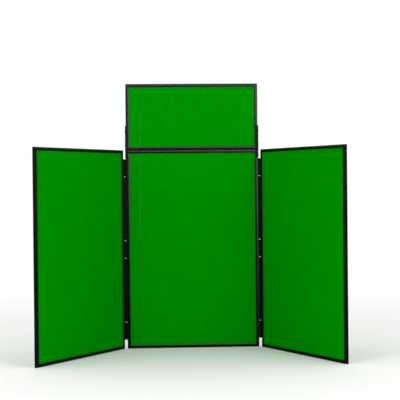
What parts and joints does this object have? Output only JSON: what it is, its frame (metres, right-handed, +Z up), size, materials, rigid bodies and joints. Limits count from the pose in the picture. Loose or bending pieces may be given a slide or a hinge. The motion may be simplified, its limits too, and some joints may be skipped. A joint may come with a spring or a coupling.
{
  "type": "folding tabletop display board",
  "caption": "Folding tabletop display board: framed loop-fabric leaves on double-action hinges, with a lift-off header board above the centre leaf.",
  "frame": {"origin": "middle of the underside of the centre leaf's bottom rail, half way through its depth", "axes": "+X along the centre leaf to the viewer's right, +Y to the back, +Z up"},
  "size_m": [1.2825, 0.5455, 1.2003],
  "materials": {
    "black_pvc": "satin",
    "loop_nylon": "matte",
    "honeycomb_core": "matte",
    "hinge_rod": "satin",
    "zinc_screw": "satin"
  },
  "bodies": {
    "centre": {"centre_core": "honeycomb_core", "centre_fabric_front": "loop_nylon", "centre_fabric_back": "loop_nylon", "centre_rail_left": "black_pvc", "centre_rail_right": "black_pvc", "centre_rail_bottom": "black_pvc", "centre_rail_top": "black_pvc", "left_hinge_rod_inner": "hinge_rod", "right_hinge_rod_inner": "hinge_rod"},
    "left_link": {"left_hinge_link": "black_pvc"},
    "left_wing": {"left_wing_core": "honeycomb_core", "left_wing_fabric_front": "loop_nylon", "left_wing_fabric_back": "loop_nylon", "left_wing_rail_outer": "black_pvc", "left_wing_rail_hinge": "black_pvc", "left_wing_rail_bottom": "black_pvc", "left_wing_rail_top": "black_pvc", "left_hinge_rod_outer": "hinge_rod"},
    "right_link": {"right_hinge_link": "black_pvc"},
    "right_wing": {"right_wing_core": "honeycomb_core", "right_wing_fabric_front": "loop_nylon", "right_wing_fabric_back": "loop_nylon", "right_wing_rail_hinge": "black_pvc", "right_wing_rail_outer": "black_pvc", "right_wing_rail_bottom": "black_pvc", "right_wing_rail_top": "black_pvc", "right_hinge_rod_outer": "hinge_rod"},
    "header": {"header_core": "honeycomb_core", "header_fabric_front": "loop_nylon", "header_fabric_back": "loop_nylon", "header_rail_left": "black_pvc", "header_rail_right": "black_pvc", "header_rail_bottom": "black_pvc", "header_rail_top": "black_pvc", "left_header_bracket": "black_pvc", "left_bracket_screw_lower": "zinc_screw", "left_bracket_screw_upper": "zinc_screw", "right_header_bracket": "black_pvc", "right_bracket_screw_lower": "zinc_screw", "right_bracket_screw_upper": "zinc_screw"}
  },
  "joints": [
    {"name": "left_hinge_inner", "type": "hinge", "parent": "centre", "child": "left_link", "pos_m": [-0.3016, 0, 0], "axis": [0, 0, 1], "range_deg": [-72.25, 62.75]},
    {"name": "left_hinge_outer", "type": "hinge", "parent": "left_link", "child": "left_wing", "pos_m": [-0.31582, -0.00733, 0], "axis": [0, 0, 1], "range_deg": [-72.25, 62.75]},
    {"name": "right_hinge_inner", "type": "hinge", "parent": "centre", "child": "right_link", "pos_m": [0.3016, 0, 0], "axis": [0, 0, -1], "range_deg": [-120.5, 14.5]},
    {"name": "right_hinge_outer", "type": "hinge", "parent": "right_link", "child": "right_wing", "pos_m": [0.31539, -0.00812, 0], "axis": [0, 0, -1], "range_deg": [-120.5, 14.5]},
    {"name": "header_lift", "type": "slide", "parent": "centre", "child": "header", "axis": [0, 0, 1], "range_m": [0, 0.045]}
  ]
}
